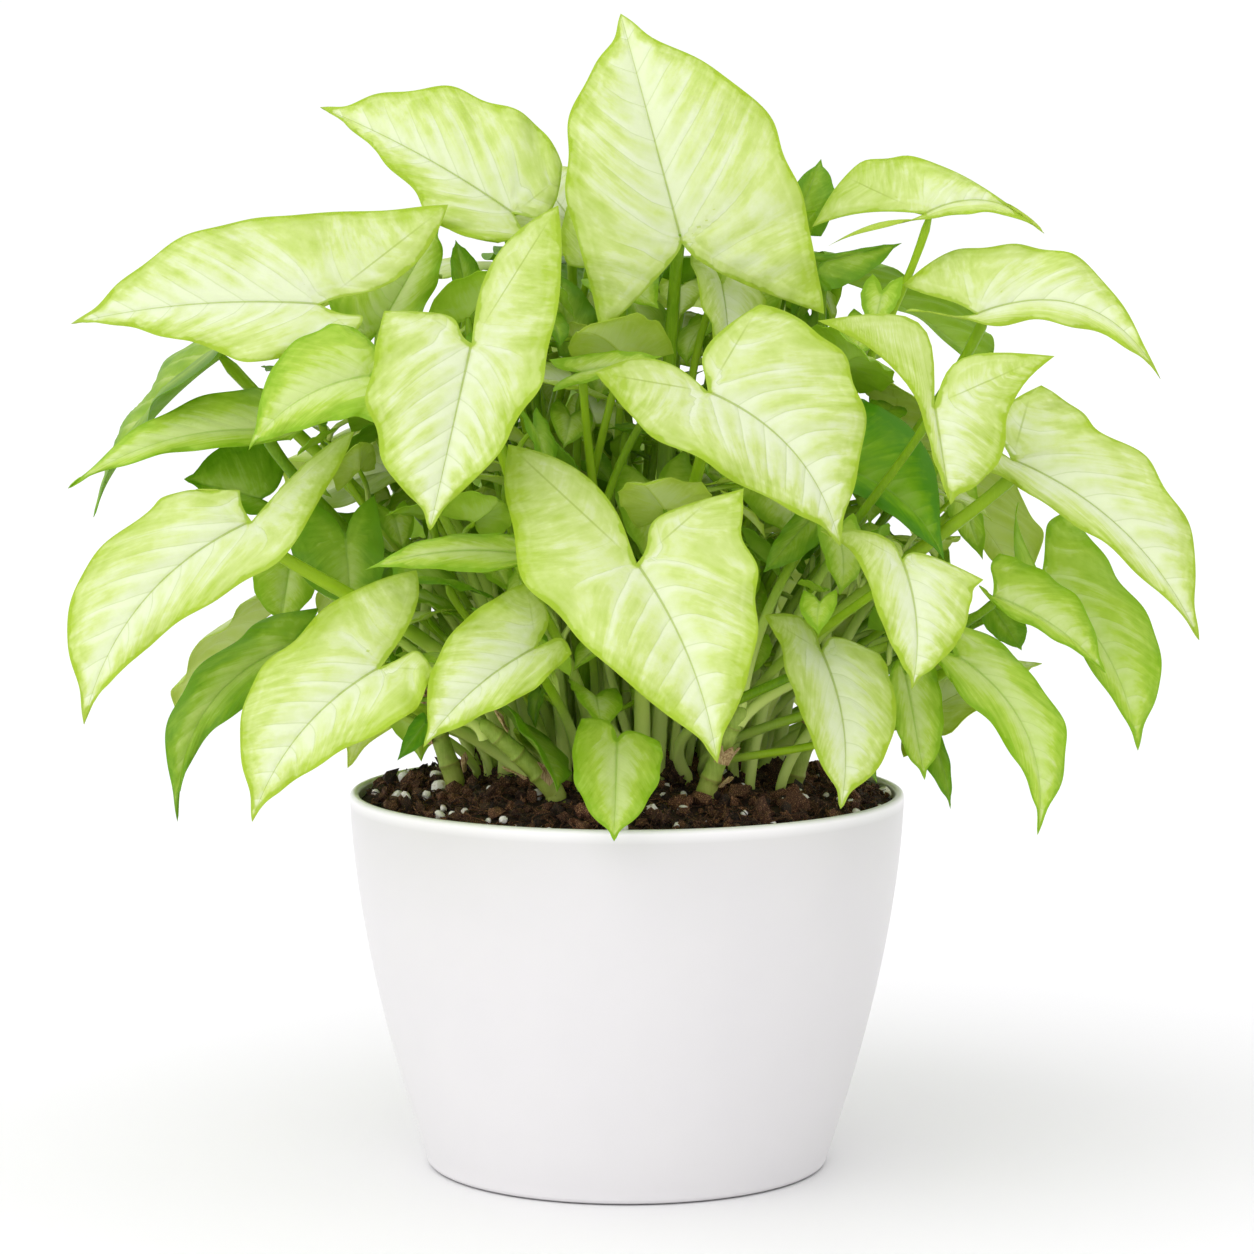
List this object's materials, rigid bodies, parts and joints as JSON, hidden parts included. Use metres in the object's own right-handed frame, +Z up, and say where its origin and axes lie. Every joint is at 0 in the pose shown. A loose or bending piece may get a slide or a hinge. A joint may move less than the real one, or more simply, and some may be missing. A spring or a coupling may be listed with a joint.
{
  "type": "potted house plant",
  "caption": "Bushy arrowhead plant with pale green arrow-shaped leaves on long stalks, growing in a plain white round pot filled with dark potting soil.",
  "frame": {"origin": "centre of the pot's flat underside, on the surface that it stands on", "axes": "+Z up along the pot's axis; -Y towards the viewer of the plant's best side; +X to that viewer's right"},
  "size_m": [0.3376, 0.3107, 0.352],
  "materials": {
    "pot": "satin white",
    "soil": "matt, crumbly coir and bark",
    "leaf_pale": "soft satin leaf",
    "leaf_lime": "soft satin leaf",
    "leaf_green": "soft satin leaf",
    "leaf_dark": "satin leaf",
    "cane": "smooth green stem"
  },
  "bodies": {
    "root": {"cane_back_left": "cane", "cane_back_right": "cane", "cane_front_left": "cane", "cane_front_right": "cane", "cane_left": "cane", "cane_right": "cane", "leaf_arch_right": "leaf_pale", "leaf_back_crown_1": "leaf_pale", "leaf_back_crown_2": "leaf_pale", "leaf_back_high_1": "leaf_lime", "leaf_back_high_2": "leaf_pale", "leaf_back_high_3": "leaf_pale", "leaf_back_high_4": "leaf_green", "leaf_back_high_5": "leaf_pale", "leaf_back_left": "leaf_green", "leaf_back_low_1": "leaf_green", "leaf_back_low_2": "leaf_pale", "leaf_back_low_3": "leaf_pale", "leaf_back_low_4": "leaf_green", "leaf_back_low_5": "leaf_pale", "leaf_back_low_6": "leaf_pale", "leaf_back_low_7": "leaf_pale", "leaf_back_middle_1": "leaf_pale", "leaf_back_middle_2": "leaf_pale", "leaf_back_middle_3": "leaf_lime", "leaf_back_middle_4": "leaf_lime", "leaf_back_middle_5": "leaf_pale", "leaf_back_middle_6": "leaf_pale", "leaf_back_middle_7": "leaf_green", "leaf_back_olive": "leaf_green", "leaf_blade_left": "leaf_lime", "leaf_bow_right": "leaf_pale", "leaf_centre_left": "leaf_pale", "leaf_centre_right": "leaf_pale", "leaf_dark_right": "leaf_dark", "leaf_droop_left": "leaf_green", "leaf_far_right": "leaf_pale", "leaf_fold_centre": "leaf_lime", "leaf_foot_left": "leaf_pale", "leaf_foot_right": "leaf_pale", "leaf_front": "leaf_pale", "leaf_green_right": "leaf_green", "leaf_hang_right": "leaf_lime", "leaf_high_left": "leaf_pale", "leaf_high_right": "leaf_lime", "leaf_inner_left": "leaf_pale", "leaf_little_heart": "leaf_lime", "leaf_low_left": "leaf_pale", "leaf_mid_right": "leaf_pale", "leaf_olive_right": "leaf_lime", "leaf_shade_left": "leaf_green", "leaf_short_left": "leaf_lime", "leaf_small_left": "leaf_lime", "leaf_small_right": "leaf_lime", "leaf_tail_right": "leaf_green", "leaf_top": "leaf_pale", "leaf_wing_left": "leaf_pale", "pot": "pot", "soil": "soil"}
  },
  "joints": []
}
